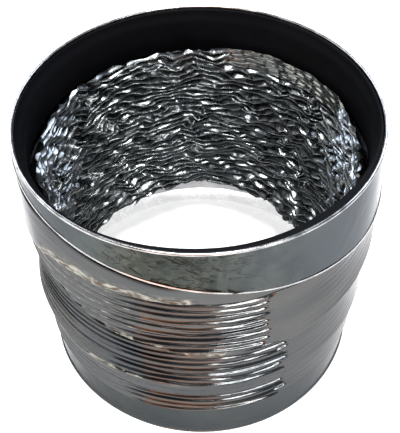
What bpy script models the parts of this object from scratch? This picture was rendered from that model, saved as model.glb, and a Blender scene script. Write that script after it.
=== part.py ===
"""Double-skin flexible duct connector for round 150 mm ventilation ducts, stored fully compressed.

The frame stands on the rim of its plain bottom collar: origin at the centre of that rim, +Z up the duct.
A crumpled foil core and a ribbed outer jacket run between two sheet-metal collars. Each skin is carried by
the turns of a spring wire. The turns stand free of each other, so the connector stretches and bends: each
jacket turn tips about its own +X edge, and each core turn lifts along the duct.
"""

import math

import bmesh
import bpy

# Driving dimensions, in metres.
TOTAL_HEIGHT = 0.1386  # compressed, from rim to rim
TOP_COLLAR_RADIUS = 0.0790  # outer face, at the rim
TOP_COLLAR_FLARE = 0.07  # growth of the top collar's radius per unit of depth below its rim
TOP_COLLAR_DEPTH = 0.0210  # from rim to lower edge, on the duct's axis
EDGE_SLOPE = 0.173  # fall of the top collar's lower edge towards +X
SHOULDER_DEPTH = 0.0296  # from the top rim to the lower edge of the jacket's smooth cuff
BOTTOM_COLLAR_RADIUS = 0.0786
BOTTOM_COLLAR_HEIGHT = 0.0228
TURN_COUNT = 21  # wire turns under each skin

SHEET = 0.0008  # collar sheet thickness
BEAD_RADIUS = 0.0006  # rolled lip of the top collar and hem of the bottom one
LINING_BORE = 0.0752  # clear radius of the socket
LINING = 0.0016
LINING_LIP_HEIGHT = 0.0040  # thicker lip of the lining, just below the rim
CUFF = 0.0012  # thickness of a taped film end
CUFF_TUCK = 0.0100  # how far the film ends reach into the bottom collar
CORE_CUFF_RISE = 0.0075  # how far the core's taped end stands above the jacket's last fold
FILM = 0.0005
WIRE_RADIUS = 0.0007
JACKET_WIRE_RADIUS = 0.0786  # from the duct's axis to the middle of the jacket's wire
CORE_WIRE_RADIUS = 0.0740
DROOP_LEVELS = (0.0434, 0.0786)  # lower edges of the jacket's two slack folds
DROOP_HEIGHT = 0.0240  # how far up a slack fold starts to swell
DROOP_SIZE = 0.0025
DROOP_UNDERCUT = 0.0015  # height over which a slack fold steps back to the wire
GAP = 0.0003  # clearance between pieces that touch on the real object

SEGMENTS = 32  # sides of every round piece, all in phase
WIRE_SIDES = 4
BEAD_STEPS = 6
CUTTER_SIZE = 0.3

# Levels up the duct.
TOP_COLLAR_EDGE = TOTAL_HEIGHT - TOP_COLLAR_DEPTH
SHOULDER_BASE = TOTAL_HEIGHT - SHOULDER_DEPTH
LINING_LIP_BASE = TOTAL_HEIGHT - BEAD_RADIUS - LINING_LIP_HEIGHT
CUFF_TOP = LINING_LIP_BASE - GAP
CORE_CUFF_TOP = SHOULDER_BASE + CORE_CUFF_RISE
TURN_PITCH = (SHOULDER_BASE - BOTTOM_COLLAR_HEIGHT) / (TURN_COUNT + 1)

# Radii of the straight pieces, from the collars inwards.
TOP_COLLAR_BORE = TOP_COLLAR_RADIUS - SHEET
BOTTOM_COLLAR_BORE = BOTTOM_COLLAR_RADIUS - SHEET
BOTTOM_CUFF_RADIUS = BOTTOM_COLLAR_BORE - GAP
JACKET_FILM_BORE = JACKET_WIRE_RADIUS + WIRE_RADIUS + GAP
CORE_CUFF_RADIUS = CORE_WIRE_RADIUS + WIRE_RADIUS
CORE_FILM_RADIUS = CORE_WIRE_RADIUS - WIRE_RADIUS - GAP

# Base colour, roughness and metallic value of each material.
MATERIALS = {
    "collar_metal": ((0.55, 0.57, 0.60), 0.18, 1.0),
    "black_rubber": ((0.012, 0.012, 0.016), 0.60, 0.0),
    "foil_tape": ((0.62, 0.63, 0.65), 0.28, 1.0),
    "jacket_film": ((0.50, 0.52, 0.55), 0.15, 1.0),
    "core_foil": ((0.70, 0.71, 0.73), 0.25, 1.0),
    "spring_wire": ((0.40, 0.40, 0.41), 0.35, 1.0),
}


def clear_scene():
    for item in list(bpy.data.objects):
        bpy.data.objects.remove(item, do_unlink=True)


def new_collection(name):
    collection = bpy.data.collections.new(name)
    bpy.context.scene.collection.children.link(collection)
    return collection


def make_materials():
    for name, (colour, roughness, metallic) in MATERIALS.items():
        material = bpy.data.materials.new(name)
        material.use_nodes = True
        shader = material.node_tree.nodes["Principled BSDF"]
        shader.inputs["Base Color"].default_value = (*colour, 1.0)
        shader.inputs["Roughness"].default_value = roughness
        shader.inputs["Metallic"].default_value = metallic


def move_to(collection, item):
    for holder in list(item.users_collection):
        holder.objects.unlink(item)
    collection.objects.link(item)


def finish_piece(item, material, collection, parent=None):
    """Gives a piece its material and shading, and files it in the collection under its parent."""
    item.data.materials.append(bpy.data.materials[material])
    item.data.shade_smooth()
    item.data.set_sharp_from_angle(angle=math.radians(40))
    move_to(collection, item)
    if parent:
        item.parent = parent
        item.location -= parent.location
    return item


def turned_piece(name, profile, material, collection, parent=None):
    """Turns a closed profile of (radius, level) points, listed down the outside and up the inside."""
    base = min(level for radius, level in profile)
    outline = bmesh.new()
    points = [outline.verts.new((radius, 0.0, level - base)) for radius, level in profile]
    for point, following in zip(points, points[1:] + points[:1]):
        outline.edges.new((point, following))
    mesh = bpy.data.meshes.new(name)
    outline.to_mesh(mesh)
    outline.free()
    item = bpy.data.objects.new(name, mesh)
    item.location.z = base
    turn = item.modifiers.new("turn", "SCREW")
    turn.axis = "Z"
    turn.steps = SEGMENTS
    turn.render_steps = SEGMENTS
    turn.use_merge_vertices = True
    turn.merge_threshold = 0.0001
    turn.use_smooth_shade = True
    return finish_piece(item, material, collection, parent)


def band(inner, outer, base, top):
    """Profile of a straight band."""
    return [(outer, top), (outer, base), (inner, base), (inner, top)]


def flared_bore(level):
    """Inner radius of the top collar at a level."""
    return TOP_COLLAR_BORE + TOP_COLLAR_FLARE * (TOTAL_HEIGHT - level)


def bead(radius, level):
    """Outer half of a bead's section, from its top round to its bottom."""
    angles = [math.pi * (0.5 - step / BEAD_STEPS) for step in range(BEAD_STEPS + 1)]
    return [
        (radius + BEAD_RADIUS * math.cos(angle), level + BEAD_RADIUS * math.sin(angle))
        for angle in angles
    ]


def turn_level(turn):
    """Level of a wire turn, counted from 1 at the bottom."""
    return BOTTOM_COLLAR_HEIGHT + turn * TURN_PITCH


def slanted_cutter(collection):
    """A box whose top face is the plane of the top collar's lower edge."""
    bpy.ops.mesh.primitive_cube_add(size=CUTTER_SIZE)
    cutter = bpy.context.object
    cutter.name = "collar_edge_cutter"
    tilt = math.atan(EDGE_SLOPE)
    cutter.rotation_euler.y = tilt
    half = CUTTER_SIZE / 2
    cutter.location = (-half * math.sin(tilt), 0.0, TOP_COLLAR_EDGE - half * math.cos(tilt))
    cutter.hide_render = True
    cutter.display_type = "WIRE"
    move_to(collection, cutter)
    return cutter


def wire_turn(name, radius, level, collection):
    bpy.ops.mesh.primitive_torus_add(
        major_segments=SEGMENTS,
        minor_segments=WIRE_SIDES,
        major_radius=radius,
        minor_radius=WIRE_RADIUS,
        location=(0.0, 0.0, level),
    )
    item = bpy.context.object
    item.name = name
    item.data.name = name
    return finish_piece(item, "spring_wire", collection)


def build_bottom_end(collection):
    """The plain collar and the taped ends of both skins inside it."""
    collar = [(BOTTOM_COLLAR_RADIUS, BOTTOM_COLLAR_HEIGHT)]
    collar += bead(BOTTOM_COLLAR_RADIUS, BEAD_RADIUS)
    collar += [(BOTTOM_COLLAR_BORE, 0.0), (BOTTOM_COLLAR_BORE, BOTTOM_COLLAR_HEIGHT)]
    turned_piece("bottom_collar_shell", collar, "collar_metal", collection)

    base, top = BOTTOM_COLLAR_HEIGHT - CUFF_TUCK, BOTTOM_COLLAR_HEIGHT
    jacket_cuff = band(BOTTOM_CUFF_RADIUS - CUFF, BOTTOM_CUFF_RADIUS, base, top)
    turned_piece("bottom_joint_tape", jacket_cuff, "foil_tape", collection)
    core_cuff = band(CORE_FILM_RADIUS - FILM, CORE_CUFF_RADIUS, base, top)
    turned_piece("core_bottom_tape", core_cuff, "foil_tape", collection)


def build_top_end(collection, cutters):
    """The lined socket collar, the jacket's smooth shoulder cuff and the core's taped end."""
    top_end = bpy.data.objects.new("top_end_axis", None)
    top_end.location.z = SHOULDER_BASE
    collection.objects.link(top_end)

    deepest = SHOULDER_BASE - CUFF_TUCK
    collar = [(TOP_COLLAR_RADIUS, TOTAL_HEIGHT)]
    collar += bead(TOP_COLLAR_RADIUS, TOTAL_HEIGHT - BEAD_RADIUS)[1:]
    collar += [(flared_bore(deepest) + SHEET, deepest), (flared_bore(deepest), deepest)]
    collar += [(TOP_COLLAR_BORE, TOTAL_HEIGHT)]
    shell = turned_piece("top_collar_shell", collar, "collar_metal", collection, top_end)
    trim = shell.modifiers.new("slanted_edge", "BOOLEAN")
    trim.operation = "DIFFERENCE"
    trim.solver = "EXACT"
    trim.object = slanted_cutter(cutters)

    lip_radius = flared_bore(TOTAL_HEIGHT) - GAP
    lining_radius = LINING_BORE + LINING
    lining = [
        (lip_radius, TOTAL_HEIGHT - BEAD_RADIUS),
        (lip_radius, LINING_LIP_BASE),
        (lining_radius, LINING_LIP_BASE),
        (lining_radius, CORE_CUFF_TOP + GAP),
        (LINING_BORE, CORE_CUFF_TOP + GAP),
        (LINING_BORE, TOTAL_HEIGHT - BEAD_RADIUS),
    ]
    turned_piece("top_collar_lining", lining, "black_rubber", collection, top_end)

    top_radius = flared_bore(CUFF_TOP) - GAP
    base_radius = flared_bore(SHOULDER_BASE) - GAP
    shoulder = [
        (top_radius, CUFF_TOP),
        (base_radius, SHOULDER_BASE),
        (base_radius - CUFF, SHOULDER_BASE),
        (top_radius - CUFF, CUFF_TOP),
    ]
    turned_piece("top_joint_tape", shoulder, "foil_tape", collection, top_end)

    core_cuff = band(CORE_FILM_RADIUS - FILM, CORE_CUFF_RADIUS, SHOULDER_BASE, CORE_CUFF_TOP)
    turned_piece("core_top_tape", core_cuff, "foil_tape", collection, top_end)


def build_skins(collection):
    """Both films, from the bottom cuffs to the top ones: the jacket's droops in two slack folds."""
    base = BOTTOM_COLLAR_HEIGHT + GAP
    top = SHOULDER_BASE - GAP
    inside = [(JACKET_FILM_BORE, top)]
    for level in reversed(DROOP_LEVELS):
        inside += [
            (JACKET_FILM_BORE, level + DROOP_HEIGHT),
            (JACKET_FILM_BORE + DROOP_SIZE, level),
            (JACKET_FILM_BORE, level - DROOP_UNDERCUT),
        ]
    inside += [(JACKET_FILM_BORE, base)]
    outside = [(radius + FILM, level) for radius, level in inside]
    turned_piece("jacket_film", outside + inside[::-1], "jacket_film", collection)
    core = band(CORE_FILM_RADIUS - FILM, CORE_FILM_RADIUS, base, top)
    turned_piece("core_film", core, "core_foil", collection)


def build_wire_turns(collection):
    """One hoop for each turn of the two spring wires, its origin on the duct's axis at its own level."""
    for turn in range(1, TURN_COUNT + 1):
        level = turn_level(turn)
        wire_turn(f"core_wire_turn_{turn:02d}", CORE_WIRE_RADIUS, level, collection)
        wire_turn(f"jacket_wire_turn_{turn:02d}", JACKET_WIRE_RADIUS, level, collection)


clear_scene()
make_materials()
parts = new_collection("flexible_duct_connector")
cutters = new_collection("cutters")
build_bottom_end(parts)
build_top_end(parts, cutters)
build_skins(parts)
build_wire_turns(parts)
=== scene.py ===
"""Looks of the flexible duct connector: crumpled foil core, ribbed mirror jacket, collars, light and camera.

Both skins are cut into narrow rings. Each ring blends between the two bodies of one joint, so the pleats
open when the connector is stretched or bent. Azimuths are measured from the front (-Y), positive to +X.
"""

import math

import bpy
import numpy as np
from mathutils import Matrix, Vector


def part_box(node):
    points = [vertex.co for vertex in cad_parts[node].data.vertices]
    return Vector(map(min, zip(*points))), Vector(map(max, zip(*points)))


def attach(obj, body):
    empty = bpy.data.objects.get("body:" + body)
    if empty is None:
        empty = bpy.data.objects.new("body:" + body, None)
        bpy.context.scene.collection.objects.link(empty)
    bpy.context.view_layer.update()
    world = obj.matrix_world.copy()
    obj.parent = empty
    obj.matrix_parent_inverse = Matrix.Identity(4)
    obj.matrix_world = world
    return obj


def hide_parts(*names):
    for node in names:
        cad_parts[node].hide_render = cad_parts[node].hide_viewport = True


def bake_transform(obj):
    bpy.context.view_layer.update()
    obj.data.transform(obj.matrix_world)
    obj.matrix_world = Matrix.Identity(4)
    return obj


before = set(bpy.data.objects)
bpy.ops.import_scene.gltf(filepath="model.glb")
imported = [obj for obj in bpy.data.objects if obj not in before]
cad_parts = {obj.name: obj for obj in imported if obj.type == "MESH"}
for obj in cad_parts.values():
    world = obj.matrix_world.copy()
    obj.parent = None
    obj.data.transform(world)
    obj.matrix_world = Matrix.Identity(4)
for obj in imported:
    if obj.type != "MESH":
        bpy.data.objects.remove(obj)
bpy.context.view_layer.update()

# ---------------------------------------------------------------- sizes, in metres

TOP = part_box("top_collar_shell")[1].z
RIM_RADIUS = 0.0797  # of the rolled lip, outside
RIM_BORE = 0.0789  # inside
COLLAR_FLARE = 0.08  # growth of the top collar's radius per unit of depth
COLLAR_DEPTH = 0.0210  # rim to lower edge, on the duct's axis
EDGE_SLOPE = 0.173  # fall of that edge towards +X
BOTTOM_COLLAR_RADIUS = 0.0786
BOTTOM_COLLAR_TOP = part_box("bottom_collar_shell")[1].z
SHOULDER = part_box("core_top_tape")[0].z  # where both skins meet the top end
CORE_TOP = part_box("core_top_tape")[1].z
LINING_BORE = 0.0752

TURNS = sum(1 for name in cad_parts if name.startswith("core_wire_turn_"))
TURN_LEVELS = [
    sum(corner.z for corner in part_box(f"core_wire_turn_{turn:02d}")) / 2 for turn in range(1, TURNS + 1)
]
LEVELS = [BOTTOM_COLLAR_TOP, *TURN_LEVELS, SHOULDER]
PITCH = TURN_LEVELS[1] - TURN_LEVELS[0]  # from rib to rib up the jacket

JACKET_RADIUS = 0.0799  # over the crests
RIB_DEPTH = 0.0014  # from the crest over a wire to the dip between two wires
RIB_RIDGE = 0.0003  # of the faint ridge inside each dip
CORE_RADIUS = 0.0728
PLEAT_DEPTH = 0.0030
CREASE = 0.0031  # from crease to crease up the core
CREASE_CREST = 0.45  # place of a crease's crest, from one valley at 0 to the next at 1
FACET_DEPTH = 0.0007  # of the flat facets that the creases lie on

SHEET = 0.0008  # from a collar's outside to what lies behind it
TURNED_EDGE = 0.0004  # radius of the top collar's turned lower edge
BOTTOM_HEM = 0.0006  # radius of the bottom collar's lower rim
MIDDLE = 0.07  # height of the object's middle, which the lights face

COLUMNS = 420  # points round each ring
ROWS = 9  # points up each ring
CORE_COLUMNS = 640
CORE_ROWS = 12
SEED = 21  # each random curve adds its own number to this
SOFT_END = math.radians(8)  # of a stretch round the duct, used for the rubbed stretches and for those painted as highlight and as shade


# ---------------------------------------------------------------- numbers

def smooth(t):
    """Smooth step of t, from 0 to 1."""
    t = np.clip(t, 0, 1)
    return t * t * (3 - 2 * t)


def near_level(level, target, width):
    """1 at the target level or azimuth, falling to 0 over a width or so."""
    return np.exp(-(((level - target) / width) ** 2))


def ramp_up(value, start, length):
    """0 up to start, then rising to 1 over the length."""
    return smooth((value - start) / length)


def between_azimuths(az, first, last):
    """1 between two azimuths, in degrees, with soft ends."""
    return smooth((az - math.radians(first)) / SOFT_END) * smooth((math.radians(last) - az) / SOFT_END)


def azimuths(columns=COLUMNS):
    """Azimuth of each column of points, in radians."""
    return np.linspace(-math.pi, math.pi, columns, endpoint=False)


def round_curve(points, az):
    """Smooth closed curve through (azimuth in degrees, value) points, at each azimuth."""
    at = np.radians([p[0] for p in points])
    value = np.array([p[1] for p in points], float)
    at = np.concatenate([at - 2 * math.pi, at, at + 2 * math.pi])
    value = np.tile(value, 3)
    index = np.clip(np.searchsorted(at, az, side="right") - 1, 0, len(at) - 2)
    t = smooth((az - at[index]) / (at[index + 1] - at[index]))
    return value[index] * (1 - t) + value[index + 1] * t


def waves(az, seed, count, low, high):
    """Smooth random curve round the duct, from -1 to 1 or so."""
    rng = np.random.default_rng(seed)
    total = np.zeros_like(az)
    for _ in range(count):
        total += np.sin(az * rng.integers(low, high) + rng.uniform(0, 2 * math.pi))
    return total / math.sqrt(count)


def zigzag(az, seed, knots):
    """Random curve of straight stretches round the duct, from -1 to 1."""
    rng = np.random.default_rng(seed)
    steps = rng.uniform(0.4, 1.6, knots)
    at = np.cumsum(steps) / steps.sum() * 2 * math.pi - math.pi
    value = rng.uniform(-1, 1, knots)
    return np.interp(az, at, value, period=2 * math.pi)


def per_crest(az, place, seed, make, span=1, shear=0):
    """Blends make(azimuth, seed) curves, one every span crests, as place counts the crests upward.

    shear slides the blended rows round the duct by up to that many radians, so that kinks don't line up.
    """
    rows = []
    for height in place[:, 0] / span:
        below = math.floor(height)
        share = smooth(height - below)
        around = az[0] + shear * math.sin(0.8 * span * height)
        rows.append(make(around, seed + below) * (1 - share) + make(around, seed + below + 1) * share)
    return np.stack(rows)


def random_value(low, high):
    """A curve for per_crest: one random value from low to high for each crest."""
    return lambda az, seed: 0 * az + np.random.default_rng(seed).uniform(low, high)


def facets(az, level, seed, around, upward, count):
    """Random field of flat facets on the duct's wall, from -1 to 1 or so: crossed slanting triangle waves.

    around is the range of waves per turn, upward the range of waves per metre of height.
    """
    rng = np.random.default_rng(seed)
    total = 0 * az * level
    for _ in range(count):
        slant = rng.choice((-1, 1)) * rng.uniform(*upward)
        t = az / (2 * math.pi) * rng.integers(*around) + level * slant + rng.uniform()
        total += 4 * np.abs(t - np.floor(t) - 0.5) - 1
    return total / math.sqrt(count)


def ring_points(radius, level, az):
    """Points from arrays of radius and level that are (rows, columns)."""
    return np.stack([radius * np.sin(az), -radius * np.cos(az), level + 0 * az], -1)


def surface_normals(points):
    """Normal of each point of a closed ring grid, pointing away from the axis on an upright wall."""
    round_way = np.roll(points, -1, 1) - np.roll(points, 1, 1)
    up_way = np.gradient(points, axis=0)
    normal = np.cross(round_way, up_way)
    return normal / np.maximum(np.linalg.norm(normal, axis=-1, keepdims=True), 1e-12)


def set_normals(item, normals, inward):
    """Gives a sheet the normals of the whole surface, so that no seam shows between rings."""
    if inward:
        normals = -normals
    item.data.normals_split_custom_set_from_vertices(normals.reshape(-1, 3).tolist())


# ---------------------------------------------------------------- meshes

def sheet(name, points, material, wear_and_painted_light=None, inward=False):
    """A ring-shaped sheet from a (rows, columns, 3) grid, closed round the duct.

    Its "rest" attribute holds each point's place, and "wear_and_painted_light" how rubbed, creased or marked
    the surface is and how much painted highlight and painted dark reflection it holds, up to 1 or a little
    more, and how much painted shade, down to -1.
    """
    rows, columns = points.shape[:2]
    index = np.arange(rows * columns).reshape(rows, columns)
    after = np.roll(index, -1, 1)
    faces = np.stack([index[:-1], after[:-1], after[1:], index[1:]], -1).reshape(-1, 4)
    if inward:
        faces = faces[:, ::-1]
    mesh = bpy.data.meshes.new(name)
    mesh.from_pydata(points.reshape(-1, 3).tolist(), [], faces.tolist())
    mesh.shade_smooth()
    rest = mesh.attributes.new("rest", "FLOAT_VECTOR", "POINT")
    rest.data.foreach_set("vector", points.reshape(-1).astype(np.float32))
    wear_and_painted_light_layer = mesh.attributes.new("wear_and_painted_light", "FLOAT", "POINT")
    if wear_and_painted_light is not None:
        wear_and_painted_light_layer.data.foreach_set("value", wear_and_painted_light.reshape(-1).astype(np.float32))
    mesh.materials.append(material)
    item = bpy.data.objects.new(name, mesh)
    bpy.context.scene.collection.objects.link(item)
    return item


# ---------------------------------------------------------------- materials

class Nodes:
    """Short way to write a material's node tree."""

    def __init__(self, name):
        self.material = bpy.data.materials.new(name)
        self.material.use_nodes = True
        self.tree = self.material.node_tree
        self.shader = self.tree.nodes["Principled BSDF"]

    def add(self, kind, inputs=(), **settings):
        """A new node, with its inputs linked to sockets or set to values."""
        node = self.tree.nodes.new(kind)
        for key, value in settings.items():
            setattr(node, key, value)
        for key, value in dict(inputs).items():
            if isinstance(value, bpy.types.NodeSocket):
                self.tree.links.new(value, node.inputs[key])
            else:
                node.inputs[key].default_value = value
        return node

    def set(self, **values):
        """Links or sets the shader's inputs, with _ for each space in their names."""
        for key, value in values.items():
            socket = self.shader.inputs[key.replace("_", " ")]
            if isinstance(value, bpy.types.NodeSocket):
                self.tree.links.new(value, socket)
            else:
                socket.default_value = value

    def place(self, stretch=(1, 1, 1), slant=None):
        """The point's rest place, turned about Y by slant if given, then scaled along each axis."""
        place = self.add("ShaderNodeAttribute", attribute_name="rest").outputs["Vector"]
        if slant is not None:
            turn = {"Vector": place, "Angle": slant}
            place = self.add("ShaderNodeVectorRotate", turn, rotation_type="Y_AXIS").outputs["Vector"]
        return self.add("ShaderNodeMapping", {"Vector": place, "Scale": stretch}).outputs["Vector"]

    def noise(self, place, scale, detail=4.0, roughness=0.5, distortion=0.0):
        """Noise from 0 to 1."""
        inputs = {
            "Vector": place,
            "Scale": scale,
            "Detail": detail,
            "Roughness": roughness,
            "Distortion": distortion,
        }
        return self.add("ShaderNodeTexNoise", inputs).outputs["Fac"]

    def ramp(self, value, stops):
        """Colour of value on a ramp of (position, colour) stops."""
        node = self.add("ShaderNodeValToRGB", {"Fac": value})
        elements = node.color_ramp.elements
        while len(elements) < len(stops):
            elements.new(0.5)
        for element, (at, colour) in zip(elements, stops):
            element.position = at
            element.color = (*colour, 1)
        return node.outputs["Color"]

    def span(self, value, low, high):
        """value from 0..1 to low..high."""
        limits = {"Value": value, "To Min": low, "To Max": high}
        return self.add("ShaderNodeMapRange", limits).outputs["Result"]

    def wear_and_painted_light(self):
        """The point's wear_and_painted_light value."""
        return self.add("ShaderNodeAttribute", attribute_name="wear_and_painted_light").outputs["Fac"]

    def math(self, operation, first, second):
        """Two values combined by a ShaderNodeMath operation."""
        return self.add("ShaderNodeMath", {0: first, 1: second}, operation=operation).outputs["Value"]

    def mix(self, share, first, second):
        """Colour from first to second as share goes from 0 to 1."""
        node = self.add("ShaderNodeMix", {0: share, 6: first, 7: second}, data_type="RGBA")
        return node.outputs[2]

    def bump(self, height, distance, strength, under=None):
        """Normal of a bumpy surface, over the bumps of another normal if given."""
        inputs = {"Height": height, "Distance": distance, "Strength": strength}
        if under is not None:
            inputs["Normal"] = under
        return self.add("ShaderNodeBump", inputs).outputs["Normal"]


def grey(value):
    """A grey colour."""
    return (value, value, value)


# Tint of a mirror seen edge on, where the skin is clean, where it is marked and painted darker as a dark
# reflection, and where it is painted near-black as shade.
CLEAN_TINT = (0.60, 0.60, 0.60, 1)
DULL_AND_PAINTED_DARK_TINT = (0.30, 0.30, 0.30, 1)
PAINTED_SHADE_TINT = (0.05, 0.05, 0.05, 1)

# Near-black painted as shade into the jacket's slack dips, just under its upper fold and in the crevice under
# the top collar.
PAINTED_SHADE_COLOUR = (0.004, 0.004, 0.004, 1)
SCRATCH_COLOUR = (0.012, 0.010, 0.009, 1)
SCRATCH_SLANT = -0.5  # radians


def film_material():
    """Metallised film: a dark mirror with long faint wrinkles, rubbed to cream along some folds, partly as
    real rubbing and partly as painted highlight, and painted near-black as shade in some dips and gaps.
    """
    n = Nodes("mirror_film")
    tone = n.noise(n.place((1, 1, 3)), 22, detail=3)
    mirror = n.ramp(tone, [(0.3, (0.058, 0.063, 0.068)), (0.7, (0.090, 0.090, 0.087))])
    patch = n.noise(n.place((1, 1, 2.5)), 260, detail=3)
    # Rubbed patches turn cream, partly as real rubbing and partly as painted highlight.
    rubbed = n.math("GREATER_THAN", n.math("MULTIPLY", n.wear_and_painted_light(), patch), 0.34)
    cream = n.ramp(
        patch,
        [(0.41, (0.08, 0.05, 0.03)), (0.45, (0.12, 0.12, 0.105)), (0.62, (0.32, 0.32, 0.28))],
    )
    pale = n.math("MAXIMUM", rubbed, n.math("MULTIPLY", n.wear_and_painted_light(), 0.5))
    # Values below zero paint near-black shade.
    painted_shade = n.math("MULTIPLY", n.wear_and_painted_light(), -1.0)
    wrinkle = n.noise(n.place((1, 1, 5)), 45, detail=4, roughness=0.55)
    fine = n.noise(n.place((1, 1, 1)), 420, detail=2)
    n.set(
        Base_Color=n.mix(painted_shade, n.mix(pale, mirror, cream), PAINTED_SHADE_COLOUR),
        Metallic=n.span(rubbed, 1.0, 0.55),
        Specular_Tint=n.mix(painted_shade, CLEAN_TINT, PAINTED_SHADE_TINT),
        Roughness=n.span(n.math("MAXIMUM", rubbed, n.span(tone, 0.0, 0.2)), 0.10, 0.5),
        Normal=n.bump(wrinkle, 0.0004, 0.6, n.bump(fine, 0.00004, 0.5)),
    )
    return n.material


def collar_material():
    """Mirror-rolled sheet under a film: nearly smooth, but cracked and scratched where it is rubbed, and
    painted darker and greener there as a dark reflection.
    """
    n = Nodes("collar_sheet")
    tone = n.noise(n.place((1, 1, 1)), 15, detail=4)
    clean = n.ramp(tone, [(0.3, (0.062, 0.070, 0.079)), (0.7, (0.082, 0.092, 0.096))])
    soft = n.noise(n.place((1, 1, 0.7)), 55, detail=6, roughness=0.65, distortion=1.2)
    # A darker, greener colour painted where the collar is marked, as a dark reflection.
    dull_and_painted_dark = n.ramp(
        soft,
        [(0.36, (0.026, 0.029, 0.026)), (0.48, (0.043, 0.047, 0.041)), (0.62, (0.068, 0.072, 0.062))],
    )
    scratch = n.noise(n.place((0.8, 1, 4.5), SCRATCH_SLANT), 170, detail=3)
    scratched = n.math("ADD", scratch, n.math("MULTIPLY", n.wear_and_painted_light(), 0.15))
    crack = n.noise(n.place((0.8, 0.8, 1.6)), 40, detail=5, roughness=0.62, distortion=0.5)
    crack = n.ramp(crack, [(0.492, grey(0.0)), (0.50, grey(0.8)), (0.508, grey(0.0))])
    marked = n.math("MAXIMUM", n.ramp(scratched, [(0.75, grey(0.0)), (0.81, grey(1.0))]), crack)
    marked = n.math("MULTIPLY", marked, n.wear_and_painted_light())
    n.set(
        Base_Color=n.mix(n.math("MULTIPLY", marked, 0.75), n.mix(n.wear_and_painted_light(), clean, dull_and_painted_dark), SCRATCH_COLOUR),
        Metallic=1.0,
        Specular_Tint=n.mix(n.wear_and_painted_light(), CLEAN_TINT, DULL_AND_PAINTED_DARK_TINT),
        Roughness=n.span(tone, 0.06, 0.15),
        Normal=n.bump(marked, 0.0002, 0.6, n.bump(soft, 0.0004, 0.7)),
    )
    return n.material


def bare_material(name, low, high):
    """Bare sheet metal, brighter where it is rubbed."""
    n = Nodes(name)
    rub = n.noise(n.place((1, 1, 1)), 160, detail=5)
    n.set(
        Base_Color=n.ramp(rub, [(0.3, grey(low)), (0.6, grey(high))]),
        Metallic=1.0,
        Roughness=n.span(rub, 0.18, 0.34),
        Normal=n.bump(rub, 0.0001, 0.3),
    )
    return n.material


def rubber_material():
    """Matt black sealing rubber."""
    n = Nodes("black_lining")
    grain = n.noise(n.place((1, 1, 1)), 900, detail=3)
    patch = n.noise(n.place((1, 1, 1)), 35, detail=3)
    n.set(
        Base_Color=n.ramp(patch, [(0.3, (0.0014, 0.0016, 0.0024)), (0.7, (0.0028, 0.0030, 0.0042))]),
        Roughness=n.span(patch, 0.5, 0.72),
        Specular_IOR_Level=0.06,
        Normal=n.bump(grain, 0.00008, 0.5),
    )
    return n.material


def foil_material():
    """Bare crumpled foil: painted pale along the crests of the creases as highlight, and dark in the valleys
    as shade.
    """
    n = Nodes("crumpled_foil")
    tone = n.noise(n.place((1, 1, 1)), 70, detail=4)
    fine = n.noise(n.place((0.3, 0.3, 1.8)), 300, detail=3, roughness=0.55)
    height = n.math("ADD", n.wear_and_painted_light(), n.span(fine, -0.16, 0.16))
    # Dark in the valleys as painted shade, pale on the crests as painted highlight.
    colour = n.ramp(
        height,
        [
            (0.10, (0.055, 0.060, 0.063)),
            (0.55, (0.165, 0.180, 0.187)),
            (0.84, (0.240, 0.254, 0.250)),
            (0.98, (0.380, 0.385, 0.370)),
        ],
    )
    n.set(
        Base_Color=colour,
        Metallic=1.0,
        Roughness=n.span(tone, 0.17, 0.36),
        Normal=n.bump(fine, 0.00012, 0.5),
    )
    return n.material


def wire_material():
    """Drawn spring wire, slightly stained."""
    n = Nodes("drawn_wire")
    rest = n.add("ShaderNodeTexCoord").outputs["Object"]
    stain = n.noise(rest, 120, detail=4)
    n.set(
        Base_Color=n.ramp(stain, [(0.35, (0.26, 0.26, 0.27)), (0.7, (0.42, 0.42, 0.43))]),
        Metallic=1.0,
        Roughness=n.span(stain, 0.28, 0.45),
    )
    return n.material


def floor_material():
    """Pale, faintly mottled floor that glows a little, so that it stays white in the duct's shadow."""
    n = Nodes("pale_floor")
    rest = n.add("ShaderNodeTexCoord").outputs["Object"]
    mottle = n.noise(rest, 3, detail=3)
    n.set(
        Base_Color=n.ramp(mottle, [(0.3, grey(0.80)), (0.7, grey(0.83))]),
        Emission_Color=(1, 1, 1, 1),
        Emission_Strength=0.70,
        Roughness=n.span(mottle, 0.7, 0.8),
        Specular_IOR_Level=0.2,
    )
    return n.material


FILM = film_material()
COLLAR = collar_material()
LIP = bare_material("rolled_lip", 0.22, 0.48)
BARE = bare_material("bare_inside", 0.80, 0.94)
RUBBER = rubber_material()
FOIL = foil_material()
WIRE = wire_material()


# ---------------------------------------------------------------- the two skins

def skin_rings():
    """The rings up a skin: (cell, joint's kind, lower level, upper level)."""
    rings = []
    for cell, (low, high) in enumerate(zip(LEVELS, LEVELS[1:])):
        middle = (low + high) / 2 if cell < TURNS else high
        rings.append((cell, "slide", low, middle))
        if cell < TURNS:
            rings.append((cell, "hinge", middle, high))
    return rings


def build_skin(name, surface, material, replaced, inward=False, columns=COLUMNS, rows=ROWS):
    """Cuts a surface, given as (radius, wear_and_painted_light) of (azimuth, level), into rings that each
    blend across a joint.
    """
    az = azimuths(columns)
    rings = skin_rings()
    levels = [
        low + (high - low) * row / (rows - 1)
        for _, _, low, high in rings
        for row in range(rows - 1)
    ]
    levels = np.array([*levels, rings[-1][3]])
    radius, wear_and_painted_light = surface(az[None, :], levels[:, None])
    points = ring_points(radius, levels[:, None], az[None, :])
    normals = surface_normals(points)
    for count, (cell, kind, low, high) in enumerate(rings):
        part = slice(count * (rows - 1), (count + 1) * (rows - 1) + 1)
        item = sheet(f"{name}_{kind}_{cell + 1:02d}", points[part], material, wear_and_painted_light[part], inward)
        set_normals(item, normals[part], inward)
        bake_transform(item)
        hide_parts(replaced)


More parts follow.
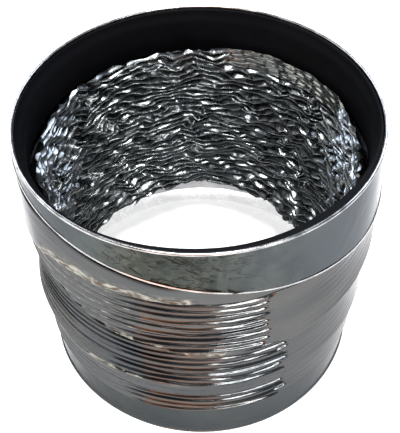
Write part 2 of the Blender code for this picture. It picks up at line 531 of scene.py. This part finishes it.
# Lower edge of each of the jacket's slack folds, and how far it stands out, round the duct.
UPPER_FOLD = (
    ((-120, 0.0880), (-56, 0.0890), (-25, 0.0778), (0, 0.0712), (45, 0.0730), (90, 0.0786), (180, 0.0830)),
    ((-90, 0.0012), (-25, 0.0010), (0, 0.0008), (45, 0.0018), (90, 0.0036), (180, 0.0020)),
)
LOWER_FOLD = (
    ((-90, 0.0476), (-30, 0.0466), (0, 0.0450), (90, 0.0424), (180, 0.0440)),
    ((-90, 0.0026), (-50, 0.0024), (-20, 0.0007), (20, 0.0006), (60, 0.0013), (90, 0.0021), (180, 0.0020)),
)
FOLD_RISE = 0.0230  # height over which a fold dies out upward
FOLD_UNDERCUT = 0.0012  # height over which it drops back below its edge

FLAT_BAND = (0.0355, 0.0437)  # levels of the flat band under the lower fold
LOW_RIBS = 0.036  # below this level the left side's ribs are shallow
SLACK_BOTTOM = 0.052  # lowest level of the dips under the upper fold that are painted near-black as shade
STRETCHED = (0.20, 0.50)  # part of each turn's height that slides open, and holds no painted shade

# Stretches of the jacket, in degrees of azimuth.
SMOOTH_SIDE = (26, 76)
SHALLOW_SIDE = (-120, -8)
# Stretches whose fold edges and crests are rubbed and also painted cream as highlight.
UPPER_RUBBED_AND_HIGHLIGHT = (-34, 12)
LOWER_RUBBED_AND_HIGHLIGHT = (-46, -2)
CRESTS_RUBBED_AND_HIGHLIGHT = (-74, -14)
# Stretches whose slack dips, and the strip just under the upper fold, are painted near-black as shade.
DIPS_PAINTED_SHADE = (-76, -8)
GAP_PAINTED_SHADE = (-76, -22)
SIDE_FADE = math.radians(25)  # over which the smooth and the shallow side die out

# How far the core is tucked in at its lower end, round the duct.
TUCK = (
    (-180, 0.0),
    (-150, 0.0045),
    (-126, 0.0035),
    (-90, 0.002),
    (90, 0.003),
    (130, 0.0085),
    (149, 0.004),
)
TUCK_HEIGHT = 0.022


def fold_offset(az, level, fold):
    """How far a slack fold stands out: sharp at its lower edge, dying out above it."""
    edge = round_curve(fold[0], az)
    size = round_curve(fold[1], az)
    above = np.clip(1 - (level - edge) / FOLD_RISE, 0, 1) ** 1.5
    below = smooth((level - edge + FOLD_UNDERCUT) / FOLD_UNDERCUT)
    return size * np.where(level >= edge, above, below)


def above_upper_fold(az, level):
    """1 above the upper fold's edge, 0 below it."""
    return smooth((level - round_curve(UPPER_FOLD[0], az)) / 0.001)


def smooth_side(az, level):
    """1 over the part of the jacket's right side where the film is pulled smooth, else 0.

    Its front end is ragged, and lies further forward high up on the jacket.
    """
    half_turns = (level - BOTTOM_COLLAR_TOP) / PITCH * 2
    ragged = per_crest(az, half_turns, SEED + 250, random_value(-3.5, 2))
    edge = SMOOTH_SIDE[0] - 7 * ramp_up(level, 0.070, 0.006) + ragged
    front_end = smooth((az - np.radians(edge)) / math.radians(2.5))
    back_end = 1 - ramp_up(az, math.radians(SMOOTH_SIDE[1]), SIDE_FADE)
    return front_end * back_end


def rib_gain(az, level, place):
    """Depth of the jacket's ribs, as a share of RIB_DEPTH."""
    gain = per_crest(
        az, place, SEED + 200, lambda a, s: random_value(0.80, 1.1)(a, s) + 0.12 * waves(a, s, 4, 2, 14)
    )
    flat = ramp_up(level, FLAT_BAND[0], 0.002) * (1 - ramp_up(level, FLAT_BAND[1], 0.002))
    back_end, front_end = np.radians(SHALLOW_SIDE)
    left = ramp_up(-az, -front_end, SIDE_FADE) * (1 - ramp_up(-az, -back_end, SIDE_FADE))
    shallow = np.maximum(above_upper_fold(az, level), 1 - ramp_up(level, LOW_RIBS, 0.002))
    return gain * (1 - 0.8 * flat) * (1 - (0.3 + 0.32 * shallow) * left) * (1 - 0.96 * smooth_side(az, level))


def jacket_wear_and_painted_light(az, level, place, turn):
    """How rubbed the jacket is on its folds' edges and crests, which are also painted cream as highlight,
    less the near-black shade painted into its slack dips and just under its upper fold.
    """
    upper = round_curve(UPPER_FOLD[0], az)
    upper_edge = near_level(level, upper, 0.0015)
    lower_edge = near_level(level, round_curve(LOWER_FOLD[0], az), 0.0012)
    edges = between_azimuths(az, *UPPER_RUBBED_AND_HIGHLIGHT) * upper_edge
    edges = edges + 0.8 * between_azimuths(az, *LOWER_RUBBED_AND_HIGHLIGHT) * lower_edge
    crests = ((1 + np.cos(turn)) / 2) ** 4 * above_upper_fold(az, level)
    crests = crests * between_azimuths(az, *CRESTS_RUBBED_AND_HIGHLIGHT)
    # Fold edges and crests painted cream, partly as rubbing and partly as highlight.
    rubbed = np.maximum(edges, 0.58 * crests)
    slack = smooth((upper - level) / 0.002) * ramp_up(level, SLACK_BOTTOM, 0.010)
    strength = per_crest(az, place, SEED + 260, random_value(0.4, 1.2))
    # Near-black shade painted into the dips under the upper fold, where the ribs hide one another, and just
    # under the fold's edge.
    dips = ((1 - np.cos(turn + 0.6 * math.pi)) / 2) ** 9
    painted_shade = dips * slack * strength * between_azimuths(az, *DIPS_PAINTED_SHADE)
    gap = near_level(level, upper - 0.0017, 0.0015) * between_azimuths(az, *GAP_PAINTED_SHADE)
    phase = place % 1
    kept = 1 - ramp_up(phase, STRETCHED[0], 0.04) * (1 - ramp_up(phase, STRETCHED[1], 0.04))
    return rubbed - np.maximum(painted_shade, gap) * kept


def jacket_surface(az, level):
    """Radius of the ribbed jacket, and its rubbing together with the highlight and shade painted on it."""
    place = (level - BOTTOM_COLLAR_TOP) / PITCH
    drift = per_crest(az, place, SEED, lambda a, s: waves(a, s, 4, 1, 9))
    drift += 0.4 * per_crest(az, place, SEED + 90, lambda a, s: waves(a, s, 4, 8, 26))
    turn = 2 * math.pi * (place + 0.09 * drift)
    rib = RIB_DEPTH * (1 - np.cos(turn)) / 2 + RIB_RIDGE * (1 - np.cos(2 * turn)) / 2
    radius = JACKET_RADIUS - rib * rib_gain(az, level, place)
    radius = radius + fold_offset(az, level, UPPER_FOLD) + fold_offset(az, level, LOWER_FOLD)
    upper_edge = near_level(level, round_curve(UPPER_FOLD[0], az), 0.0015)
    dents = 0.0005 * zigzag(az, SEED + 15, 150)
    radius = radius + dents * between_azimuths(az, *UPPER_RUBBED_AND_HIGHLIGHT) * upper_edge
    return radius, jacket_wear_and_painted_light(az, level, place, turn)


def core_surface(az, level):
    """Radius of the crumpled core, with bent creases of uneven depth over flat facets, and its painted light:
    high on the crests for painted highlight, low in the valleys for painted shade.
    """
    place = (level - BOTTOM_COLLAR_TOP) / CREASE
    sway = per_crest(az, place, SEED + 300, lambda a, s: zigzag(a, s, 50), span=5, shear=0.05)
    jitter = per_crest(az, place, SEED + 350, lambda a, s: zigzag(a, s, 90), shear=0.03)
    depth = facets(az, level, SEED + 400, (14, 34), (50, 130), count=4)
    facet = facets(az, level, SEED + 500, (16, 44), (60, 160), count=4)
    u = (place + 0.95 * sway + 0.18 * jitter) % 1
    flank = np.where(u < CREASE_CREST, u / CREASE_CREST, (1 - u) / (1 - CREASE_CREST))
    height = 0.4 * flank + 0.6 * smooth(flank)
    pleat = PLEAT_DEPTH * (0.76 + 0.24 * np.clip(depth, -1, 1)) * height
    radius = CORE_RADIUS - pleat - FACET_DEPTH * facet
    radius = radius - round_curve(TUCK, az) * smooth(1 - (level - BOTTOM_COLLAR_TOP) / TUCK_HEIGHT)
    # The returned crest height paints the foil's highlight and shade.
    return radius, height * (0.86 + 0.25 * depth)


build_skin("jacket", jacket_surface, FILM, "jacket_film")
build_skin(
    "core",
    core_surface,
    FOIL,
    "core_film",
    inward=True,
    columns=CORE_COLUMNS,
    rows=CORE_ROWS,
)


# ---------------------------------------------------------------- the two ends

# Where the top collar is crumpled and scratched round the duct, and painted darker and greener as a dark
# reflection.
COLLAR_FRONT = ((-60, 0.0), (-34, 0.3), (-18, 1.0), (2, 0.85), (18, 0.4), (45, 0.0), (180, 0.0))
# Section of its hem, outward and up from its lower edge.
COLLAR_HEM = ((0.0000, 0.0000), (0.0003, 0.0002), (0.0004, 0.0006), (0.0001, 0.0010))
LINING_THICKNESS = ((-90, 0.0008), (-45, 0.0012), (0, 0.0029), (40, 0.0036), (90, 0.0014), (180, 0.0014))

# The jacket's taped upper end, round the duct: level of its lower edge, its radius there, how far it is
# sunk under the collar's edge, and the height of the rubbed band, painted cream partly as rubbing and partly
# as highlight.
TAPE_EDGE = (
    (-90, 0.1000),
    (-62, 0.1006),
    (-45, 0.1060),
    (-25, 0.1086),
    (0, 0.1080),
    (45, 0.1080),
    (90, 0.1060),
    (180, 0.1060),
)
TAPE_RADIUS = (
    (-90, 0.0822),
    (-60, 0.0820),
    (-45, 0.0811),
    (0, 0.0806),
    (30, 0.0804),
    (60, 0.0820),
    (90, 0.0836),
    (120, 0.0828),
    (180, 0.0814),
)
TAPE_STEP = ((-180, 0.0014), (-90, 0.0022), (-20, 0.0020), (0, 0.0012), (60, 0.0012), (120, 0.0014))
TAPE_BAND = ((-90, 0.0045), (-40, 0.0040), (-18, 0.0024), (90, 0.0024), (180, 0.0024))
TAPE_RUBBED_AND_HIGHLIGHT = (-62, 2)
TAPE_CLEARANCE = (0.0805, 0.0803)  # least radius of its tucked end and its lower edge, clear of the jacket

# How much the bottom collar is painted darker round the duct, most on its left, as a dark reflection, and
# where its upper edge is nicked.
BOTTOM_PAINTED_DARK = ((-120, 0.2), (-90, 0.45), (-40, 0.3), (0, 0.25), (40, 0.1), (90, 0.0), (180, 0.0))
BOTTOM_NICKS = (14, 52)
CORE_SMOOTH = (108, 172)  # where the core's upper end is plain


def outline_sheet(name, outline, material, body, replaced=None, inward=False, wear_and_painted_light=None):
    """A turned sheet whose outline is a list of (radius, level) arrays round the duct, from bottom to top."""
    az = azimuths()
    radius = np.stack([r + 0 * az for r, _ in outline])
    level = np.stack([z + 0 * az for _, z in outline])
    points = ring_points(radius, level, az[None, :])
    if wear_and_painted_light is not None:
        wear_and_painted_light = np.stack([w + 0 * az for w in wear_and_painted_light])
    item = sheet(name, points, material, wear_and_painted_light, inward)
    set_normals(item, surface_normals(points), inward)
    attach(item, body)
    if replaced:
        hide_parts(replaced)


def between(start, end, count):
    """Evenly spaced (radius, level) steps from start to end, both included."""
    return [
        (start[0] + (end[0] - start[0]) * t, start[1] + (end[1] - start[1]) * t)
        for t in np.linspace(0, 1, count)
    ]


def arc(radius, level, size, first, last, count):
    """Points of an arc of the section, angles in degrees from outward, positive upward."""
    angles = np.radians(np.linspace(first, last, count))
    return [(radius + size * math.cos(a), level + size * math.sin(a)) for a in angles]


def collar_radius(level):
    """Radius of the top collar's outside."""
    return RIM_RADIUS + COLLAR_FLARE * (TOP - level)


def collar_edge(az):
    """Level of the top collar's slanted lower edge."""
    return TOP - COLLAR_DEPTH - EDGE_SLOPE * RIM_RADIUS * np.sin(az)


def collar_dents(az, level):
    """The collar's crumpled front: slanting facets and one upright wrinkle, from -1 to 1 or so."""
    slanting = facets(az, level, SEED + 8, (18, 60), (60, 260), count=5)
    upright = near_level(az, math.radians(9), math.radians(1.2))
    return 0.5 * slanting + upright


def build_top_collar():
    """The top collar's outside, with its turned lower edge, and the hem and rolled lip on it."""
    az = azimuths()
    edge = collar_edge(az)
    front = round_curve(COLLAR_FRONT, az)
    start = (collar_radius(edge), edge + TURNED_EDGE)
    stop = (collar_radius(TOP - 0.0012), TOP - 0.0012)
    uneven = 0.00012 * waves(az, SEED + 7, 5, 2, 12)
    outer = [(r + uneven + 0.0003 * front * collar_dents(az, z), z) for r, z in between(start, stop, 32)]
    under = [(start[0] - SHEET, edge + 0.004), (start[0] - SHEET, edge + TURNED_EDGE)]
    outline = under + arc(start[0] - TURNED_EDGE, edge + TURNED_EDGE, TURNED_EDGE, 180, 330, 6) + outer
    crease = between_azimuths(az, -16, 14)
    # The crumpled front is painted darker as a dark reflection, and a band along the lower edge is scratched
    # more and painted darker too.
    marks_and_painted_dark = [front + 0.8 * near_level(z, edge + 0.0014, 0.0010) * crease for _, z in outline]
    outline_sheet("top_collar", outline, COLLAR, "top_end", "top_collar_shell", wear_and_painted_light=marks_and_painted_dark)
    hem = [(start[0] + out, edge + up) for out, up in COLLAR_HEM]
    outline_sheet("top_collar_hem", hem, LIP, "top_end")
    lip = arc(RIM_RADIUS - 0.0002, TOP - 0.0007, 0.0007, -70, 90, 8)
    lip += arc(RIM_BORE + 0.0004, TOP - 0.0005, 0.0005, 90, 180, 5) + [(RIM_BORE - 0.0001, TOP - 0.0030)]
    outline_sheet("top_lip", lip, LIP, "top_end")


def build_lining():
    """The black lining: a bead of uneven thickness inside the lip, and a plain wall down to the core."""
    az = azimuths()
    outside = RIM_BORE - 0.0003
    inside = outside - round_curve(LINING_THICKNESS, az)
    top = TOP - 0.0010
    outline = [(outside, top - 0.0006), (RIM_BORE - 0.0006, top)]
    outline += between((inside + 0.0006, top), (inside, top - 0.0008), 3)
    outline += between((inside, top - 0.002), (LINING_BORE, top - 0.006), 3)
    outline += between((LINING_BORE, top - 0.008), (LINING_BORE, CORE_TOP - 0.001), 6)
    outline.reverse()
    outline_sheet(
        "socket_lining", outline, RUBBER, "top_end", "top_collar_lining", inward=True
    )


def build_shoulder():
    """The jacket's taped upper end: sunk under the collar, bulging below, with a rubbed and dented edge, a
    cream highlight painted just under the collar's edge and near-black shade painted a little lower, in the
    crevice.
    """
    az = azimuths()
    edge = collar_edge(az)
    lower = round_curve(TAPE_EDGE, az) + 0.0003 * waves(az, SEED + 31, 6, 6, 40)
    proud = round_curve(TAPE_RADIUS, az)
    recess = collar_radius(edge) - SHEET - round_curve(TAPE_STEP, az)
    band = round_curve(TAPE_BAND, az)
    dents = 0.0004 * zigzag(az, SEED + 45, 150)
    uneven = 0.00010 * waves(az, SEED + 41, 6, 3, 30)
    # The band by the lower edge is painted cream, partly as rubbing and partly as highlight.
    rubbed = between_azimuths(az, *TAPE_RUBBED_AND_HIGHLIGHT)
    bright = between_azimuths(az, -18, 18) + 0.75 * between_azimuths(az, 12, 62)
    tucked, rim = TAPE_CLEARANCE
    outline = [(np.maximum(proud - 0.0022, tucked), lower + 0.0004), (np.maximum(proud - 0.0006, rim), lower)]
    wear_and_painted_light = [0 * az, rubbed]
    for t in np.linspace(0, 1, 40):
        level = lower + 0.0005 + (edge + 0.003 - lower) * t
        drop = np.maximum(edge - level, 0)
        bulge = 0.6 * smooth(drop / 0.0040) + 0.4 * (drop / (edge - lower)) ** 0.8
        near = near_level(level, lower + 0.0014, band)
        shelf = near_level(level, edge - 0.0016, 0.0012) * between_azimuths(az, -20, 20)
        radius = recess + (proud - recess) * bulge + dents * (near * rubbed + shelf)
        outline.append((radius + uneven, level))
        # A cream highlight painted along the shelf just under the collar's edge.
        glint = near_level(level, edge - 0.0010, 0.0006) * bright
        # Near-black shade painted into the crevice under the collar's edge.
        crevice = near_level(level, edge - 0.0026, 0.0011) * between_azimuths(az, -80, -4)
        wear_and_painted_light.append(near * rubbed + glint - crevice)
    outline_sheet("jacket_shoulder", outline, FILM, "top_end", "top_joint_tape", wear_and_painted_light=wear_and_painted_light)


def build_core_top():
    """The core's upper end, creased like the core but for one plain stretch, up to a ragged edge."""
    az = azimuths()
    ragged = CORE_TOP + 0.0012 + 0.0011 * zigzag(az, SEED + 51, 70)
    plainness = between_azimuths(az, *CORE_SMOOTH)
    cuff, wear_and_painted_light = [], []
    for t in np.linspace(0, 1, 32):
        level = SHOULDER + (ragged - SHOULDER) * t
        # rub is the core's painted crease light, pale crests as highlight and dark valleys as shade.
        creased, rub = core_surface(az[None, :], level[None, :])
        fold = facets(az, level, SEED + 60, (14, 60), (40, 500), count=7)
        plain = CORE_RADIUS - 0.0008 + 0.0018 * t + 0.0003 * fold
        cuff.append((creased[0] + (plain - creased[0]) * plainness, level))
        # The plain stretch gets one high value, so it is painted pale.
        wear_and_painted_light.append(rub[0] + (0.84 + 0.14 * fold - rub[0]) * plainness)
    outline_sheet(
        "core_top_edge", cuff, FOIL, "top_end", "core_top_tape", inward=True, wear_and_painted_light=wear_and_painted_light
    )


def build_bottom_end():
    """The bottom collar, outside and inside, and the core's end tucked into it."""
    az = azimuths()
    r = BOTTOM_COLLAR_RADIUS
    top = BOTTOM_COLLAR_TOP
    uneven = 0.00010 * waves(az, SEED + 71, 5, 2, 9)
    wall = arc(r, BOTTOM_HEM, BOTTOM_HEM, -90, 60, 6) + between((r, 0.0016), (r, top + 0.001), 14)
    wall = [(radius + uneven, level) for radius, level in wall]
    # The bottom collar is painted darker, most on its left, as a dark reflection; its upper edge is nicked
    # further round.
    dull_and_painted_dark = round_curve(BOTTOM_PAINTED_DARK, az)
    nicks = between_azimuths(az, *BOTTOM_NICKS)
    wear_and_painted_light = [dull_and_painted_dark + 1.4 * near_level(level, top - 0.0004, 0.0012) * nicks for _, level in wall]
    outline_sheet(
        "bottom_collar", wall, COLLAR, "bottom_end", "bottom_collar_shell", wear_and_painted_light=wear_and_painted_light
    )
    inner = between((r - 0.0004, 0.0), (r - SHEET, BOTTOM_HEM), 2)
    inner += between((r - SHEET, 0.002), (r - SHEET, top), 10)
    outline_sheet("bottom_collar_inside", inner, BARE, "bottom_end", inward=True)
    tuck = core_surface(az[None, :], np.array([[top]]))[0][0]
    ragged = top - 0.0008 + 0.0008 * zigzag(az, SEED + 81, 50)
    edge = between((tuck + 0.0008, ragged), (tuck, top), 3)
    outline_sheet("core_bottom_edge", edge, FOIL, "bottom_end", "core_bottom_tape", inward=True)


build_top_collar()
build_lining()
build_shoulder()
build_core_top()
build_bottom_end()

for name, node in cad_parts.items():
    if "_wire_turn_" in name or name == "bottom_joint_tape":
        node.data.materials.clear()
        node.data.materials.append(WIRE)


# ---------------------------------------------------------------- floor, light and camera

FLOOR_SIZE = 8
CAMERA_PLACE = (0, -0.2554, 0.3531)
CAMERA_PITCH = math.radians(47.9)  # downward
CAMERA_ROLL = math.radians(1.04)
SENSOR_WIDTH = 36  # in millimetres
LENS = 64.34  # in millimetres


def add_floor():
    """A wide level floor, which is no part of the object."""
    bpy.ops.mesh.primitive_plane_add(size=FLOOR_SIZE)
    floor = bpy.context.object
    floor.name = "floor"
    floor.data.materials.append(floor_material())


def add_light(name, azimuth, elevation, distance, size, power, colour=(1, 1, 1)):
    """A soft rectangular light at an azimuth and elevation in degrees, facing the object's middle."""
    az, el = math.radians(azimuth), math.radians(elevation)
    light = bpy.data.lights.new(name, "AREA")
    light.shape = "RECTANGLE"
    light.size, light.size_y = size
    light.energy = power
    light.color = colour
    item = bpy.data.objects.new(name, light)
    item.location = (
        distance * math.sin(az) * math.cos(el),
        -distance * math.cos(az) * math.cos(el),
        distance * math.sin(el) + MIDDLE,
    )
    bpy.context.scene.collection.objects.link(item)
    direction = Vector((0, 0, MIDDLE)) - item.location
    item.rotation_euler = direction.to_track_quat("-Z", "Y").to_euler()
    item.visible_camera = False


def add_world():
    """A room that is pale low down and dark overhead."""
    world = bpy.data.worlds.new("studio")
    world.use_nodes = True
    tree = world.node_tree
    background = tree.nodes["Background"]
    coordinates = tree.nodes.new("ShaderNodeTexCoord")
    axes = tree.nodes.new("ShaderNodeSeparateXYZ")
    ramp = tree.nodes.new("ShaderNodeValToRGB")
    ramp.color_ramp.elements.new(0.5)
    stops = [(0.05, (0.92, 0.93, 0.94, 1)), (0.25, (0.45, 0.47, 0.50, 1)), (0.65, (0.14, 0.15, 0.17, 1))]
    for element, (at, colour) in zip(ramp.color_ramp.elements, stops):
        element.position = at
        element.color = colour
    tree.links.new(coordinates.outputs["Generated"], axes.inputs["Vector"])
    tree.links.new(axes.outputs["Z"], ramp.inputs["Fac"])
    tree.links.new(ramp.outputs["Color"], background.inputs["Color"])
    background.inputs["Strength"].default_value = 1.0
    bpy.context.scene.world = world


def add_camera():
    """The photo's angle of view."""
    camera = bpy.data.cameras.new("camera")
    camera.sensor_width = SENSOR_WIDTH
    camera.lens = LENS
    item = bpy.data.objects.new("camera", camera)
    forward = Vector((0, math.cos(CAMERA_PITCH), -math.sin(CAMERA_PITCH)))
    level_up = Vector((0, math.sin(CAMERA_PITCH), math.cos(CAMERA_PITCH)))
    level_right = Vector((1, 0, 0))
    right = math.cos(CAMERA_ROLL) * level_right - math.sin(CAMERA_ROLL) * level_up
    up = math.cos(CAMERA_ROLL) * level_up + math.sin(CAMERA_ROLL) * level_right
    matrix = Matrix((right, up, -forward)).transposed().to_4x4()
    matrix.translation = CAMERA_PLACE
    item.matrix_world = matrix
    bpy.context.scene.collection.objects.link(item)
    bpy.context.scene.camera = item


add_floor()
add_world()
add_light("overhead", 0, 90, 3.0, (1.0, 1.0), 110)
add_light("right_panel", 29, 38, 1.0, (0.56, 0.14), 4.5)
add_light("warm_panel", -10, 9, 1.0, (0.75, 0.40), 2.3, (1.0, 0.37, 0.12))
add_light("front_strip", -3, 38, 1.0, (0.40, 0.05), 0.16)
add_light("left_panel", -88, 20, 1.0, (1.50, 0.50), 5, (1.0, 0.97, 0.88))
add_light("back_right_panel", 143, 42, 1.2, (0.50, 0.40), 6, (0.80, 0.86, 1.0))
add_light("back_left_panel", -143, 42, 1.2, (0.50, 0.40), 6, (0.80, 0.86, 1.0))
add_camera()
bpy.context.scene.view_settings.view_transform = "Standard"

bpy.context.view_layer.update()
